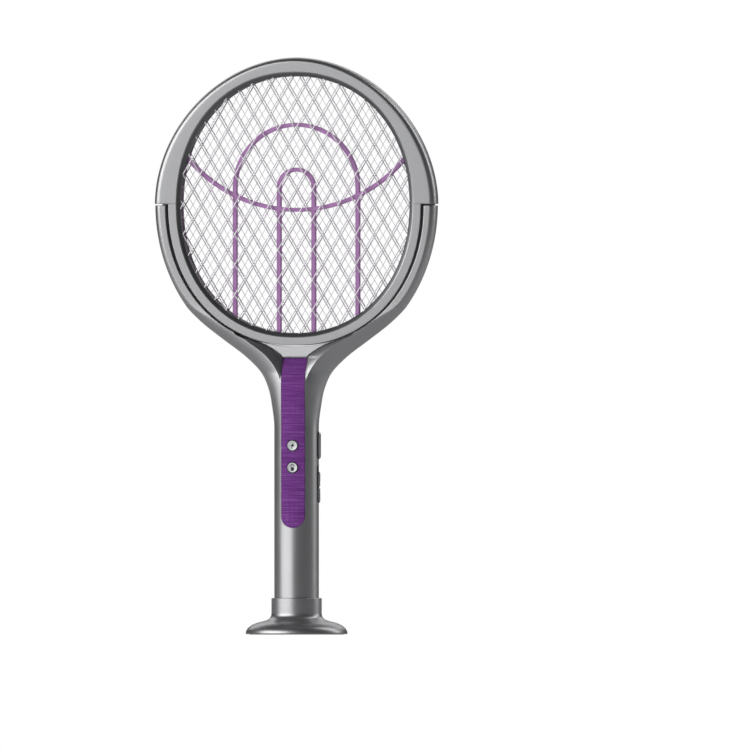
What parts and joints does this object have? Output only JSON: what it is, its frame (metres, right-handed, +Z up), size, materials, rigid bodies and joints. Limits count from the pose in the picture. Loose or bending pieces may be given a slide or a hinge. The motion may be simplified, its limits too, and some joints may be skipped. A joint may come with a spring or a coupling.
{
  "type": "electric fly swatter",
  "caption": "Racket-shaped electric fly swatter: oval three-layer grid head that folds in a Y fork, round handle with woven inlay and buttons, removable weighted stand.",
  "frame": {"origin": "centre of the underside of the stand's sole, on the surface it stands on", "axes": "+Z up along the handle to the head, -Y the front with the fabric inlay and buttons, +X the swatter's own side with the side controls"},
  "size_m": [0.2496, 0.0884, 0.5021],
  "materials": {
    "body_grey": "satin metallic-grey moulded plastic, fine even flake, slight gloss on edges",
    "fabric_purple": "purple linen-look woven inlay, matt, visible horizontal and vertical slubs",
    "button_silver": "satin silver caps with small dark symbols",
    "guard_wire": "bright galvanised wire, diamond lattice",
    "live_wire": "finer bright wire",
    "rib_violet": "violet insulating plastic ribs",
    "sole_rubber": "black non-slip rubber",
    "weight_steel": "plain steel ballast ring",
    "screw_steel": "zinc-plated screws and pins",
    "board_green": "green solder-masked circuit board",
    "black_plastic": "black moulded switch bodies",
    "winding_copper": "taped copper winding",
    "cell_wrap": "shrink-wrapped cell",
    "capacitor_blue": "dipped capacitor bodies",
    "lead_red": "insulated high-voltage lead"
  },
  "bodies": {
    "stand": {"stand_shell": "body_grey", "stand_weight": "weight_steel", "stand_sole": "sole_rubber"},
    "handle": {"handle_front_shell": "body_grey", "handle_rear_shell": "body_grey", "fabric_inlay": "fabric_purple", "tail_cap": "body_grey", "hinge_pin_right": "screw_steel", "hinge_pin_left": "screw_steel", "arm_lead_right": "lead_red", "arm_lead_left": "lead_red", "shell_screw_1": "screw_steel", "shell_screw_2": "screw_steel", "shell_screw_3": "screw_steel", "battery_cell": "cell_wrap", "main_board": "board_green", "side_board": "board_green", "zap_switch": "black_plastic", "mode_switch": "black_plastic", "trigger_switch": "black_plastic", "slide_switch": "black_plastic", "hv_transformer": "winding_copper", "usb_socket": "screw_steel", "hv_capacitor_1": "capacitor_blue", "hv_capacitor_2": "capacitor_blue", "hv_capacitor_3": "capacitor_blue"},
    "head": {"front_bezel": "body_grey", "rear_bezel": "body_grey", "front_guard_mesh": "guard_wire", "rear_guard_mesh": "guard_wire", "live_grid": "live_wire", "front_spacer_ribs": "rib_violet", "rear_spacer_ribs": "rib_violet", "head_screw_1": "screw_steel", "head_screw_2": "screw_steel", "head_screw_3": "screw_steel", "head_screw_4": "screw_steel", "head_screw_5": "screw_steel", "head_screw_6": "screw_steel"},
    "zap_key": {"zap_button": "button_silver"},
    "mode_key": {"mode_button": "button_silver"},
    "trigger_key": {"trigger_button": "body_grey"},
    "power_key": {"power_slider": "body_grey"}
  },
  "joints": [
    {"name": "stand_lift", "type": "slide", "parent": "stand", "child": "handle", "axis": [0, 0, 1], "range_m": [0, 0.035]},
    {"name": "head_fold", "type": "hinge", "parent": "handle", "child": "head", "pos_m": [0, 0.01, 0.374], "axis": [-1, 0, 0], "range_deg": [0, 90]},
    {"name": "zap_press", "type": "slide", "parent": "handle", "child": "zap_key", "axis": [0, 1, 0], "range_m": [0, 0.001], "stiffness_N_per_m": 300, "springref_m": -0.001},
    {"name": "mode_press", "type": "slide", "parent": "handle", "child": "mode_key", "axis": [0, 1, 0], "range_m": [0, 0.001], "stiffness_N_per_m": 300, "springref_m": -0.001},
    {"name": "trigger_press", "type": "slide", "parent": "handle", "child": "trigger_key", "axis": [-1, 0, 0], "range_m": [0, 0.0008], "stiffness_N_per_m": 400, "springref_m": -0.001},
    {"name": "power_slide", "type": "slide", "parent": "handle", "child": "power_key", "axis": [0, 0, 1], "range_m": [0, 0.006]}
  ]
}
